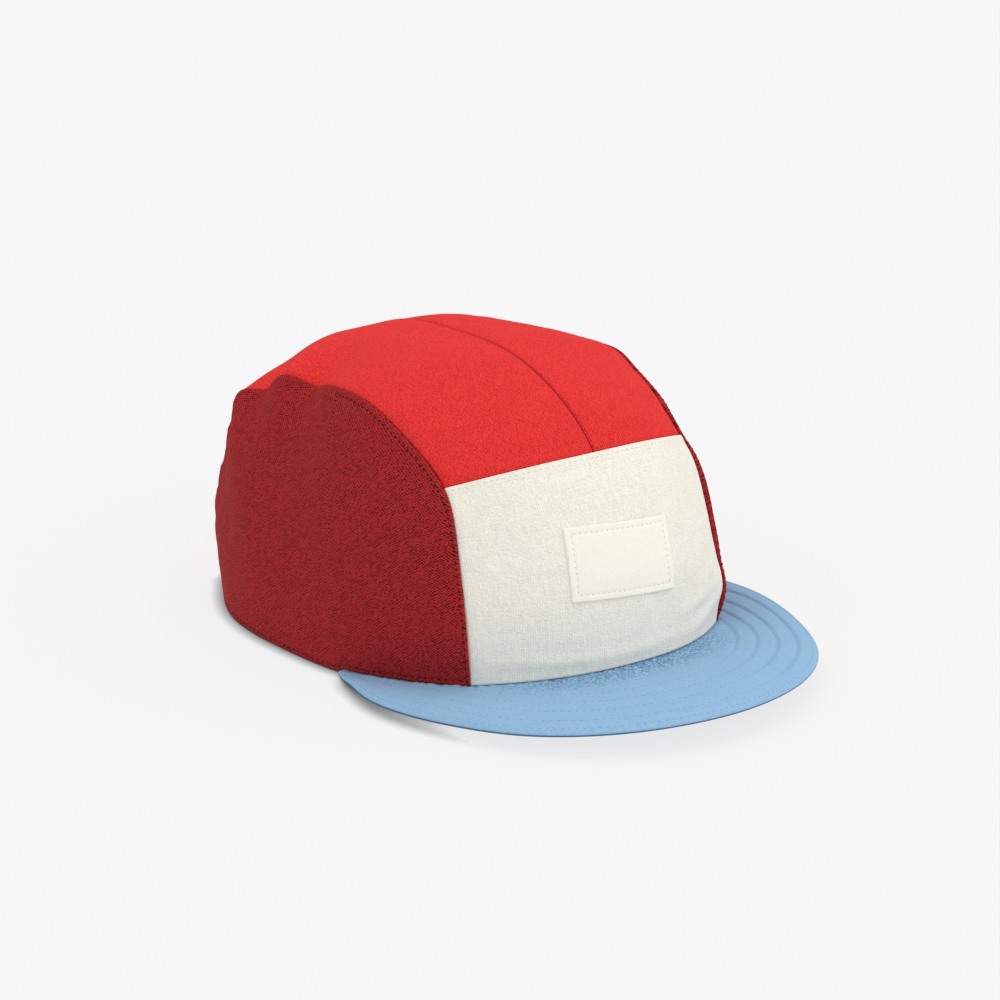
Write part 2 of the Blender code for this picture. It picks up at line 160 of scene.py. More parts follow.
def alongPath(runs, path, wanted):
    # points on a line at these lengths from its first one
    return np.stack([np.interp(wanted, runs, path[:, k]) for k in range(path.shape[1])], axis=1)


def reachAt(share):
    # metres before or behind the middle of the cap
    share = np.asarray(share, float)
    return share * np.where(share < 0.0, crown["frontReach"], crown["backReach"])


peak = {
    "depth": 0.0514, "halfWidth": 0.0815, "wall": 0.0024, "tipWall": 0.0010,
    "tipReach": 0.017, "leftTaper": 0.025, "rightTaper": 0.014, "tipSeat": 0.0009,
    "rimWall": 0.0014, "rimSlope": 0.05,
    "rimMiddleLift": 0.0088, "leftLift": 0.0034, "rightLift": 0.0041,
    "swell": 0.0010, "swellFade": 3.0, "frontHemLift": 0.0098,
    "hemRound": 1.3,            # how slowly the hem starts to rise from the tips
    "hemStep": 0.0012,          # the hem comes down to the table just behind the tips
    "tipSlope": 0.40,           # the steepest rise beside a tip
    "mostSeat": 0.6,            # the largest share of a row that may lie under the crown
}
rimTable = {
    "width": [0.0, 0.286, 0.541, 0.745, 0.880, 0.967, 1.000, 0.957],
    "depth": [1.0, 0.969, 0.883, 0.751, 0.591, 0.428, 0.267, 0.129],
}


def hemHeight(y):
    # the hem rides on the peak in front and stands on the table behind its tips
    tipY = -peak["tipReach"]
    tipHeight = peak["tipWall"] + crown["gap"]
    along = np.clip((tipY - y) / (crown["frontReach"] - peak["tipReach"]), 0.0, 1.0)
    riding = tipHeight + (peak["frontHemLift"] - tipHeight) * along ** peak["hemRound"]
    standing = tipHeight * smoothStep(1.0 - (y - tipY) / peak["hemStep"])
    return np.where(y > tipY, standing, riding)


hemCurve = splineThrough(
    np.linspace(0.0, 1.0, len(hemTable["width"])),
    np.stack([np.array(hemTable["width"]) * crown["hemHalfWidth"],
              reachAt(hemTable["reach"])], axis=1))


def hemAt(share):
    flat = hemCurve(share)
    return np.column_stack([flat, hemHeight(flat[:, 1])])


seamRows = np.stack([np.array(seamTable["width"]) * crown["seamHalfWidth"],
                     reachAt(seamTable["reach"]),
                     np.array(seamTable["height"]) * crown["seamHeight"]], axis=1)
seamCurve = splineThrough([0.0] + seamTable["station"] + [1.0],
                          np.vstack([hemAt(0.0), seamRows, hemAt(1.0)]))
middleReach = reachAt(middleTable["reach"])
middleRows = np.stack([0.0 * middleReach, middleReach,
                       np.array(middleTable["height"]) * crown["crownHeight"]], axis=1)
frontFoot = [0.0, -crown["frontReach"], float(hemHeight(-crown["frontReach"]))]
middleCurve = splineThrough([0.0] + middleTable["station"] + [1.0],
                            np.vstack([frontFoot, middleRows, [0.0, crown["backReach"], 0.0]]))
seamSamples = np.linspace(0.0, 1.0, 1201)
seamRuns = runsAlong(seamCurve(seamSamples))
middleRuns = runsAlong(middleCurve(seamSamples))


def stripGrid(stations, across):
    # the strip over the crown, with places across it from -1 to 1
    seam = seamCurve(stations)[:, None, :]
    middle = middleCurve(stations)[:, None, :]
    rise = (1.0 - np.abs(across) ** crown["stripRound"])[None, :, None]
    points = seam + (middle - seam) * rise
    points[..., 0] = seam[..., 0] * across[None, :]
    return points


def sideGrid(stations, ups):
    # ribs from the hem up to the side seam
    step = 0.002
    share = np.interp(stations, seamSamples, seamRuns) / seamRuns[-1]
    foot = hemAt(share)
    top = seamCurve(stations)
    ahead = hemCurve(np.minimum(share + step, 1.0))
    along = unit(ahead - hemCurve(np.maximum(share - step, 0.0)))
    outward = np.column_stack([along[:, 1], -along[:, 0], np.zeros(len(along))])
    length = np.linalg.norm(top - foot, axis=1)[:, None]
    upward = np.array([[0.0, 0.0, 1.0]])
    low = foot + length * (ribShape["hemRise"] * upward + ribShape["hemSwell"] * outward)
    high = top + length * (ribShape["seamSwell"] * outward - ribShape["seamDrop"] * upward)
    t = ups[None, :, None]
    d = 1.0 - t
    return (d ** 3 * foot[:, None] + 3.0 * d ** 2 * t * low[:, None]
            + 3.0 * d * t ** 2 * high[:, None] + t ** 3 * top[:, None])


def gridNormals(points, turn):
    return unit(np.cross(np.gradient(points, axis=0), np.gradient(points, axis=1)) * turn)


def turnTowards(normals, wanted, distance, reach):
    # near an edge the cloth leans another way
    weight = smoothStep(1.0 - distance / reach)[..., None]
    return unit(normals * (1.0 - weight) + wanted * weight)


def turnUpright(normals, fromFoot):
    level = unit(normals * np.array([1.0, 1.0, 0.0]))
    return turnTowards(normals, level, fromFoot, crown["footTurn"])


def seamNormals(stations):
    # the direction both panels share along the side seam
    edge = np.array([0.96, 0.98, 1.0])
    strip = gridNormals(stripGrid(stations, edge), -1.0)[:, -1]
    side = gridNormals(sideGrid(stations, np.array([0.94, 0.96, 0.98])), 1.0)[:, -1]
    return unit(strip + side)


def puckerAt(stations):
    # how far the gathers stand out along the side seam
    table = puckerTable
    knots = np.array(table["station"])
    k = np.clip(np.searchsorted(knots, stations, side="right") - 1, 0, len(knots) - 2)
    share = np.clip((stations - knots[k]) / (knots[k + 1] - knots[k]), 0.0, 1.0)
    sunk = np.interp(stations, knots, table["sunk"])
    rise = np.array(table["rise"])[k] * np.sin(np.pi * share) ** 2
    return table["height"] * np.where(stations < knots[0], 0.0, rise - sunk)


rightLiftCurve = splineThrough(rightSeam["station"], np.array(rightSeam["lift"])[:, None] / 1000.0)


def rightLiftAt(stations, fromSeam):
    lift = np.where(stations > rightSeam["station"][-1], 0.0, rightLiftCurve(stations)[:, 0])
    return lift[:, None] * np.exp(-(fromSeam / rightSeam["spread"]) ** 2)


def gatherAt(stations, fromSeam, right):
    lift = puckerAt(stations)[:, None] * np.exp(-(fromSeam / puckerTable["spread"]) ** 2)
    return lift + rightLiftAt(stations, fromSeam) if right else lift


def roundEdge(distance, radius):
    # how far the cloth turns down at a folded edge
    inside = np.clip(radius - distance, 0.0, radius)
    return np.sqrt(np.maximum(radius ** 2 - inside ** 2, 0.0)) - radius


def welt(distance, height, width, slope):
    # the raised strip of folded cloth along a seam
    return height * smoothStep(1.0 - (distance - width) / slope)


def groove(distance, middle, depth, half):
    # a sunk line at this distance from an edge
    return -depth * np.exp(-((distance - middle) / half) ** 2)


crowding = 2.2      # how strongly grid lines crowd towards an edge


def gradedShares(count, even=0.55):
    # shares from 0 to 1 that crowd together towards 1
    t = np.linspace(0.0, 1.0, count + 1)
    return even * t + (1.0 - even) * (1.0 - (1.0 - t) ** crowding)


def gradedBoth(count, even=0.55):
    # the same towards both ends
    half = gradedShares(count // 2, even) * 0.5
    return np.concatenate([0.5 - half[::-1], 0.5 + half[1:]])


def meshFromGrids(name, outer, inner, uv, mirrored=False):
    # one closed cloth from its outer and inner grids
    tall, wide = outer.shape[:2]
    points = np.concatenate([outer.reshape(-1, 3), inner.reshape(-1, 3)])
    if mirrored:
        points = points * flip
    points = points + np.array([0.0, capMiddleY, 0.0])
    index = np.arange(tall * wide).reshape(tall, wide)
    quads = np.stack([index[:-1, :-1], index[:-1, 1:], index[1:, 1:], index[1:, :-1]], axis=-1)
    front = quads.reshape(-1, 4)
    back = front[:, ::-1] + tall * wide
    border = np.concatenate([index[0, :-1], index[:-1, -1], index[-1, :0:-1], index[:0:-1, 0]])
    after = np.roll(border, -1)
    walls = np.stack([after, border, border + tall * wide, after + tall * wide], axis=-1)
    faces = np.concatenate([front, back, walls])
    if mirrored:
        faces = faces[:, ::-1]
    mesh = bpy.data.meshes.new(name)
    mesh.from_pydata(points.tolist(), [], faces.tolist())
    layer = mesh.uv_layers.new(name="cloth")
    flat = np.concatenate([uv.reshape(-1, 2), uv.reshape(-1, 2)])[faces.reshape(-1)]
    layer.data.foreach_set("uv", flat.astype(np.float32).reshape(-1))
    mesh.shade_smooth()
    mesh.set_sharp_from_angle(angle=math.radians(crown["sharpAngle"]))
    mesh.update()
    return mesh


def pathAtDistance(points, normals, distances, wanted):
    # the line on a grid that stays this far from its edge
    path = []
    turned = []
    for row, lean, away in zip(points, normals, distances):
        order = np.argsort(away)
        if away.max() < wanted:
            continue
        path.append([np.interp(wanted, away[order], row[order, k]) for k in range(3)])
        turned.append([np.interp(wanted, away[order], lean[order, k]) for k in range(3)])
    return np.array(path), unit(np.array(turned))


def makeObject(name, mesh, material, nodes=()):
    piece = bpy.data.objects.new(name, mesh)
    bpy.context.scene.collection.objects.link(piece)
    mesh.materials.append(material)
    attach(piece, "root")
    if nodes:
        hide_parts(*nodes)


def linear(colour):
    # screen colours from 0 to 255 as the renderer's own
    values = np.array(colour) / 255.0
    values = np.where(values <= 0.04045, values / 12.92, ((values + 0.055) / 1.055) ** 2.4)
    return [float(v) for v in values] + [1.0]


def addNode(tree, kind, inputs=None, **settings):
    # each input is a fixed value or another node's output
    node = tree.nodes.new(kind)
    for key, value in settings.items():
        setattr(node, key, value)
    for key, value in (inputs or {}).items():
        if isinstance(value, bpy.types.NodeSocket):
            tree.links.new(value, node.inputs[key])
        else:
            node.inputs[key].default_value = value
    return node


def calculate(tree, operation, *values):
    node = addNode(tree, "ShaderNodeMath", dict(enumerate(values)), operation=operation)
    return node.outputs[0]


weave = {
    "driftSize": 0.07, "slubSize": 0.8, "slubRough": 0.7, "cloudSize": 60.0, "middleRise": 0.6,
    "sheenRough": 0.5, "toneShine": -0.12, "slubHeight": 0.8, "knotHeight": 0.4, "bumpDepth": 0.3,
}
thread = {
    "twist": 2400.0, "shade": 0.75, "gloss": 0.2, "roughness": 0.8, "twistShine": -0.2,
    "bump": 0.4, "bumpDepth": 0.0001,
}


def plainShader(name, gloss):
    material = bpy.data.materials.new(name)
    material.use_nodes = True
    tree = material.node_tree
    shader = tree.nodes["Principled BSDF"]
    shader.inputs["Specular IOR Level"].default_value = gloss
    return material, tree, shader


def yarnPlaces(tree, cloth, look):
    # one unit for each yarn, shifted a little here and there so that no yarn runs quite straight
    yarns = addNode(tree, "ShaderNodeMapping", {
        "Vector": cloth, "Rotation": (0.0, 0.0, math.radians(look["grain"])),
        "Scale": (1.0 / look["warpPitch"], 1.0 / look["weftPitch"], 1.0)}).outputs[0]
    drift = addNode(tree, "ShaderNodeTexNoise", {
        "Vector": yarns, "Scale": weave["driftSize"], "Detail": 2.0}).outputs["Color"]
    return addNode(tree, "ShaderNodeVectorMath", {
        0: drift, 1: (look["drift"], look["drift"], 0.0), 2: yarns},
        operation="MULTIPLY_ADD").outputs[0]


def cellValue(tree, place):
    # one random value for each crossing of two yarns
    cell = addNode(tree, "ShaderNodeVectorMath", {0: place}, operation="FLOOR").outputs[0]
    return addNode(tree, "ShaderNodeTexWhiteNoise", {"Vector": cell},
                   noise_dimensions="2D").outputs[0]


def slubValue(tree, woven, stretch):
    # thick and thin places along the yarns that run one way
    stretched = addNode(tree, "ShaderNodeVectorMath", {0: woven, 1: stretch},
                        operation="MULTIPLY").outputs[0]
    slub = addNode(tree, "ShaderNodeTexNoise", {
        "Vector": stretched, "Scale": weave["slubSize"], "Detail": 2.0,
        "Roughness": weave["slubRough"]}).outputs["Fac"]
    return calculate(tree, "SUBTRACT", slub, 0.5)


def linenMaterial(name, look):
    # plain weave: uneven yarns over and under each other, with painted shade in the pits between them
    # and painted light and shade on the raised yarns and the crossings
    material, tree, shader = plainShader(name, look["gloss"])
    shader.inputs["Sheen Weight"].default_value = look["sheen"]
    shader.inputs["Sheen Roughness"].default_value = weave["sheenRough"]
    shader.inputs["Sheen Tint"].default_value = linear(look["light"])
    cloth = addNode(tree, "ShaderNodeUVMap", uv_map="cloth").outputs[0]
    woven = yarnPlaces(tree, cloth, look)
    parts = addNode(tree, "ShaderNodeSeparateXYZ", {0: woven})
    warpSine = calculate(tree, "SINE", calculate(tree, "MULTIPLY", parts.outputs[0], math.pi))
    weftSine = calculate(tree, "SINE", calculate(tree, "MULTIPLY", parts.outputs[1], math.pi))
    warp = calculate(tree, "ABSOLUTE", warpSine)
    weft = calculate(tree, "ABSOLUTE", weftSine)
    crossing = calculate(tree, "MULTIPLY", warpSine, weftSine)
    over = calculate(tree, "MULTIPLY_ADD", crossing, 0.5, 0.5)
    rise = addNode(tree, "ShaderNodeMix", {0: over, 2: weft, 3: warp}).outputs[0]
    gap = calculate(tree, "MULTIPLY", calculate(tree, "SUBTRACT", 1.0, warp),
                    calculate(tree, "SUBTRACT", 1.0, weft))
    pitPlace = addNode(tree, "ShaderNodeVectorMath", {0: woven, 1: (0.5, 0.5, 0.0)}).outputs[0]
    pitShade = calculate(tree, "POWER", cellValue(tree, pitPlace), 2.0)
    knot = calculate(tree, "SUBTRACT", cellValue(tree, woven), 0.5)
    slub = calculate(tree, "ADD", slubValue(tree, woven, (1.0, look["slub"], 1.0)),
                     slubValue(tree, woven, (look["slub"], 1.0, 1.0)))
    cloud = addNode(tree, "ShaderNodeTexNoise", {
        "Vector": cloth, "Scale": weave["cloudSize"], "Detail": 3.0}).outputs["Fac"]
    tone = look["tone"]
    # slubs, knots and clouds are the yarns' own tone; the crossings, the raised yarns and the pits
    # are painted light and shade
    for part, strength in (
            (slub, look["slubTone"]),
            (calculate(tree, "SUBTRACT", over, 0.5), look["overUnderShade"]),
            (knot, look["knotTone"]),
            (calculate(tree, "SUBTRACT", rise, weave["middleRise"]), look["raisedYarnShading"]),
            (calculate(tree, "MULTIPLY", gap, pitShade), -look["pitShade"]),
            (calculate(tree, "SUBTRACT", cloud, 0.5), look["cloud"])):
        tone = calculate(tree, "MULTIPLY_ADD", part, strength, tone)
    # painted shade beside the crown's foot, where the mesh marks it
    if "footShadeTone" in look:
        near = addNode(tree, "ShaderNodeAttribute", attribute_name="paintedFootShade").outputs["Fac"]
        footShade = calculate(tree, "MULTIPLY_ADD", knot, look["footShadeKnots"], look["footShadeTone"])
        tone = calculate(tree, "MULTIPLY_ADD", near, footShade, tone)
    tone = addNode(tree, "ShaderNodeClamp", {0: tone}).outputs[0]
    colour = addNode(tree, "ShaderNodeMix", {
        0: tone, 6: linear(look["dark"]), 7: linear(look["light"])}, data_type="RGBA").outputs[2]
    tree.links.new(colour, shader.inputs["Base Color"])
    rough = calculate(tree, "MULTIPLY_ADD", tone, weave["toneShine"], look["roughness"])
    tree.links.new(rough, shader.inputs["Roughness"])
    height = calculate(tree, "MULTIPLY_ADD", slub, weave["slubHeight"], rise)
    height = calculate(tree, "MULTIPLY_ADD", knot, weave["knotHeight"], height)
    bump = addNode(tree, "ShaderNodeBump", {
        "Height": height, "Strength": look["bump"],
        "Distance": look["warpPitch"] * weave["bumpDepth"]}).outputs[0]
    tree.links.new(bump, shader.inputs["Normal"])
    return material


def threadMaterial(name, colour):
    # twisted sewing thread
    material, tree, shader = plainShader(name, thread["gloss"])
    place = addNode(tree, "ShaderNodeTexCoord").outputs["Object"]
    twist = addNode(tree, "ShaderNodeTexNoise", {
        "Vector": place, "Scale": thread["twist"]}).outputs["Fac"]
    darker = [channel * thread["shade"] for channel in colour]
    tint = addNode(tree, "ShaderNodeMix", {
        0: twist, 6: linear(darker), 7: linear(colour)}, data_type="RGBA").outputs[2]
    tree.links.new(tint, shader.inputs["Base Color"])
    rough = calculate(tree, "MULTIPLY_ADD", twist, thread["twistShine"], thread["roughness"])
    tree.links.new(rough, shader.inputs["Roughness"])
    bump = addNode(tree, "ShaderNodeBump", {
        "Height": twist, "Strength": thread["bump"], "Distance": thread["bumpDepth"]}).outputs[0]
    tree.links.new(bump, shader.inputs["Normal"])
    return material


stitchForm = {
    "sides": 6, "flatness": 0.75,
    "lifts": [-1.2, -0.2, 0.0, -0.2, -1.2],     # in thread radii, from one end to the other
    "girths": [0.5, 0.95, 1.0, 0.95, 0.5],
}


def stitchRow(name, path, normals, look, material):
    # running stitches that dip into the cloth at both ends
    sides = stitchForm["sides"]
    rings = len(stitchForm["lifts"])
    step = 1e-4
    runs = runsAlong(path)
    count = max(int(runs[-1] / look["pitch"]), 1)
    starts = (np.arange(count) + 0.5) * runs[-1] / count
    shares = np.linspace(-0.5, 0.5, rings)
    lifts = (np.array(stitchForm["lifts"]) + look["proud"]) * look["radius"]
    girths = np.array(stitchForm["girths"]) * look["radius"]
    spots = (starts[:, None] + shares[None, :] * look["length"]).reshape(-1)
    middle = alongPath(runs, path, spots)
    lean = unit(alongPath(runs, normals, spots))
    ahead = alongPath(runs, path, spots + step) - alongPath(runs, path, spots - step)
    beside = unit(np.cross(unit(ahead), lean))
    middle = middle + lean * np.tile(lifts, count)[:, None]
    girth = np.tile(girths, count)[:, None, None]
    turns = np.linspace(0.0, 2.0 * np.pi, sides, endpoint=False)[None, :, None]
    points = middle[:, None] + girth * (beside[:, None] * np.cos(turns)
                                        + stitchForm["flatness"] * lean[:, None] * np.sin(turns))
    points = points.reshape(-1, 3) + np.array([0.0, capMiddleY, 0.0])
    faces = []
    for first in range(0, count * rings * sides, rings * sides):
        for base in range(first, first + (rings - 1) * sides, sides):
            for side in range(sides):
                after = (side + 1) % sides
                faces.append([base + side, base + after, base + sides + after, base + sides + side])
        faces.append([first + side for side in reversed(range(sides))])
        faces.append([first + (rings - 1) * sides + side for side in range(sides)])
    mesh = bpy.data.meshes.new(name)
    mesh.from_pydata(points.tolist(), [], faces)
    mesh.shade_smooth()
    mesh.update()
    makeObject(name, mesh, material)


# Front panel

frontLook = {
    "dark": (196, 190, 176), "light": (245, 242, 231), "grain": 0.0,
    "warpPitch": 0.00080, "weftPitch": 0.00043, "drift": 1.0, "slub": 0.06, "overUnderShade": 0.20,
    "roughness": 0.95, "sheen": 0.0, "gloss": 0.2, "tone": 0.80, "slubTone": 0.4, "knotTone": 0.3,
    "raisedYarnShading": 0.25, "pitShade": 0.7, "cloud": 0.08, "bump": 0.4,
}
frontPanel = {
    "rows": 170, "columns": 210,
    "topWelt": 0.00025, "topStitch": 0.0018, "weltSlope": 0.0025,
    "footRound": 0.0009, "edgeRound": 0.0003, "seamDip": 0.0002, "dipHalf": 0.0010,
    "waves": 0.00040, "waveSize": 0.021, "ripples": 0.00012, "rippleSize": 0.006,
    "seamClear": 4,             # the stitches stop this many columns short of the side seams
}
# folds as rows of place across, height up the cloth, turn, length, width, depth (mm, degrees)
frontFolds = {
    "across": [44.0, 36.0, 20.0, -10.0, -34.0, 47.0, 30.0],
    "up": [9.0, 14.0, 6.0, 5.0, 6.5, 22.0, 4.0],
    "turn": [14.0, 10.0, 3.0, -2.0, -4.0, 22.0, 6.0],
    "length": [13.0, 16.0, 24.0, 26.0, 18.0, 12.0, 14.0],
    "width": [2.4, 2.6, 2.2, 2.4, 2.2, 3.0, 1.8],
    "depth": [0.75, 0.60, 0.40, 0.35, 0.35, 0.50, 0.35],
}


def foldField(across, up, folds):
    total = np.zeros_like(across)
    for x, y, turn, length, width, depth in zip(*folds.values()):
        angle = math.radians(turn)
        dx = across - x / 1000.0
        dy = up - y / 1000.0
        along = dx * math.cos(angle) + dy * math.sin(angle)
        beside = -dx * math.sin(angle) + dy * math.cos(angle)
        shape = np.exp(-(along * 1000.0 / length) ** 2 - (beside * 1000.0 / width) ** 2)
        total = total + depth / 1000.0 * shape
    return total


def makeFrontPanel():
    last = crown["frontTopStation"] - crown["seamGap"] / 2.0 / middleRuns[-1]
    stations = last * gradedBoth(frontPanel["rows"])
    shares = gradedBoth(frontPanel["columns"]) * 2.0 - 1.0
    width = seamCurve(stations)[:, :1]
    base = stripGrid(stations, shares)
    base[..., 0] = width * shares[None, :] * (1.0 - crown["seamGap"] / 2.0 / width)
    fromSeam = (1.0 - np.abs(shares))[None, :] * width
    runs = np.interp(stations, seamSamples, middleRuns)
    fromFoot = np.repeat(runs[:, None], len(shares), axis=1)
    fromTop = np.repeat((runs[-1] - runs)[:, None], len(shares), axis=1)
    shared = seamNormals(stations)[:, None, :] * np.where(shares[:, None] < 0.0, flip, 1.0)
    normals = turnTowards(gridNormals(base, -1.0), shared, fromSeam, crown["seamTurn"])
    normals = turnUpright(normals, fromFoot)
    calm = smoothStep(fromFoot / crown["calmEdge"]) * smoothStep(fromSeam / crown["calmEdge"])
    across = runsAlong(base, axis=1)
    across = across - across[:, [len(shares) // 2]]
    lift = (softWaves(base, frontPanel, 11) * calm + foldField(across, fromFoot, frontFolds)
            + welt(fromTop, frontPanel["topWelt"], frontPanel["topStitch"], frontPanel["weltSlope"])
            + roundEdge(fromTop, frontPanel["edgeRound"])
            + roundEdge(fromFoot, frontPanel["footRound"])
            + groove(fromSeam, 0.0, frontPanel["seamDip"], frontPanel["dipHalf"])
            + roundEdge(fromSeam, frontPanel["edgeRound"]))
    proud = rightLiftAt(stations, fromSeam) * (shares > 0.0)
    moved = base + shared * proud[..., None]
    outer = moved + normals * lift[..., None]
    inner = moved - normals * crown["wall"]
    mesh = meshFromGrids("front_panel_cloth", outer, inner, np.stack([across, fromFoot], axis=-1))
    makeObject("front_panel_cloth", mesh, linenMaterial("creamLinen", frontLook),
               ["front_panel"])
    return outer, normals, fromTop


frontOuter, frontNormals, frontFromTop = makeFrontPanel()
creamThread = threadMaterial("creamThread", (222, 218, 206))
topStitch = {"pitch": 0.0021, "length": 0.0011, "radius": 0.00012, "proud": 0.1}
topRowPath, topRowNormals = pathAtDistance(
    frontOuter.transpose(1, 0, 2), frontNormals.transpose(1, 0, 2),
    frontFromTop.T, frontPanel["topStitch"])
ends = slice(frontPanel["seamClear"], -frontPanel["seamClear"])
stitchRow("front_top_stitches", topRowPath[ends], topRowNormals[ends], topStitch,
          creamThread)
print("front panel ready")

# Top panels

redLook = {
    "dark": (150, 16, 18), "light": (240, 58, 56), "grain": 45.0,
    "warpPitch": 0.00060, "weftPitch": 0.00054, "drift": 1.0, "slub": 0.06, "overUnderShade": 0.65,
    "roughness": 0.95, "sheen": 0.45, "gloss": 0.15, "tone": 0.74, "slubTone": 0.35, "knotTone": 0.5,
    "raisedYarnShading": 0.4, "pitShade": 1.3, "cloud": 0.10, "bump": 0.5,
}
topPanel = {
    "rows": 300, "columns": 96, "evenRows": 0.75,
    "middleDip": 0.0007, "middleHalf": 0.0007, "seamDip": 0.0004, "dipHalf": 0.0012,
    "edgeRound": 0.0003, "hemRound": 0.0009,
    "waves": 0.00050, "waveSize": 0.024, "ripples": 0.00018, "rippleSize": 0.007,
}
# folds over the left half, from the gathers towards the middle, in the same columns
topFolds = {
    "across": [24.0, 34.0, 9.0, 22.0],
    "up": [207.0, 196.0, 190.0, 186.0],
    "turn": [0.0, 8.0, 0.0, 6.0],
    "length": [17.0, 8.0, 12.0, 9.0],
    "width": [9.0, 3.0, 8.0, 2.5],
    "depth": [1.7, 0.5, 0.5, -0.3],
}


def topStations():
    # rows that crowd together towards the front
    first = crown["frontTopStation"] + crown["seamGap"] / 2.0 / middleRuns[-1]
    t = np.linspace(0.0, 1.0, topPanel["rows"] + 1)
    even = topPanel["evenRows"]
    return first + (1.0 - first) * (even * t + (1.0 - even) * t ** crowding)


def makeTopPanel(name, mirrored, seed):
    stations = topStations()
    shares = gradedBoth(topPanel["columns"])
    width = seamCurve(stations)[:, :1]
    base = stripGrid(stations, shares)
    gaps = (crown["seamGap"] + crown["middleGap"]) / 2.0
    base[..., 0] = crown["middleGap"] / 2.0 + (width - gaps) * shares[None, :]
    fromMiddle = base[..., 0]
    fromSeam = (1.0 - shares)[None, :] * width
    runs = np.interp(stations, seamSamples, middleRuns)
    fromFront = np.repeat((runs - runs[0])[:, None], len(shares), axis=1)
    fromHem = np.repeat((runs[-1] - runs)[:, None], len(shares), axis=1)
    shared = seamNormals(stations)[:, None, :]
    normals = gridNormals(base, -1.0)
    upright = unit(normals[:, :1] * np.array([0.0, 1.0, 1.0]))
    normals = turnTowards(normals, upright, fromMiddle, crown["middleTurn"])
    normals = turnTowards(normals, shared, fromSeam, crown["seamTurn"])
    normals = turnUpright(normals, fromHem)
    gather = gatherAt(stations, fromSeam, not mirrored)
    calm = np.ones_like(fromSeam)
    for distance in (fromSeam, fromMiddle, fromFront, fromHem):
        calm = calm * smoothStep(distance / crown["calmEdge"])
    lift = softWaves(base * (flip if mirrored else 1.0), topPanel, seed) * calm
    if mirrored:
        lift = lift + foldField(fromMiddle, runs[:, None] + 0.0 * fromMiddle, topFolds)
    lift = (lift + groove(fromMiddle, 0.0, topPanel["middleDip"], topPanel["middleHalf"])
            + roundEdge(fromHem, topPanel["hemRound"]))
    for distance in (fromFront, fromSeam):
        lift = (lift + groove(distance, 0.0, topPanel["seamDip"], topPanel["dipHalf"])
                + roundEdge(distance, topPanel["edgeRound"]))
    moved = base + shared * gather[..., None]
    outer = moved + normals * lift[..., None]
    inner = moved - normals * crown["wall"]
    up = np.repeat(runs[:, None], len(shares), axis=1)
    uv = np.stack([runsAlong(base, axis=1), up], axis=-1)
    return meshFromGrids(name, outer, inner, uv, mirrored)


redLinen = linenMaterial("redLinen", redLook)
for side, mirrored, seed in (("right", False, 21), ("left", True, 25)):
    name = "top_panel_" + side + "_cloth"
    mesh = makeTopPanel(name, mirrored, seed)
    makeObject(name, mesh, redLinen, ["top_panel_" + side])

middleThread = {
    "pitch": 0.0016, "length": 0.0017, "radius": 0.00024, "proud": 0.0, "depth": 0.00055,
}
middleLean = gridNormals(stripGrid(topStations(), np.array([-0.02, 0.0, 0.02])), -1.0)[:, 1]
middlePath = middleCurve(topStations()) - middleLean * middleThread["depth"]
stitchRow("middle_seam_thread", middlePath, middleLean, middleThread,
          threadMaterial("redSeamThread", (176, 34, 34)))
print("top panels ready")

# Side panels

darkLook = {
    "dark": (40, 5, 7), "light": (184, 44, 48), "grain": 0.0,
    "warpPitch": 0.00070, "weftPitch": 0.00048, "drift": 2.4, "slub": 0.06, "overUnderShade": 1.30,
    "roughness": 0.96, "sheen": 0.15, "gloss": 0.12, "tone": 0.74, "slubTone": 0.30, "knotTone": 0.70,
    "raisedYarnShading": 0.5, "pitShade": 1.6, "cloud": 0.04, "bump": 0.7,
}
sidePanel = {
    "rows": 320, "columns": 104, "endInset": 0.0009,
    "welt": 0.0005, "weltSlope": 0.0030,
    "seamStitch": 0.0028, "seamStitchDip": 0.00025, "seamStitchHalf": 0.0006,
    "stitchEnd": 0.53,          # the stitches show from the front up to the gathers
    "hemStitch": 0.0019, "hemStitchDip": 0.0002, "hemStitchHalf": 0.0005,
    "seamRound": 0.0006, "hemRound": 0.0008, "calmSeam": 0.003, "seamReach": 0.002,
    "crimp": 0.00035, "crimpSize": 0.008, "crimpSpread": 0.007,
    "waves": 0.00055, "waveSize": 0.024, "ripples": 0.00018, "rippleSize": 0.007,
}


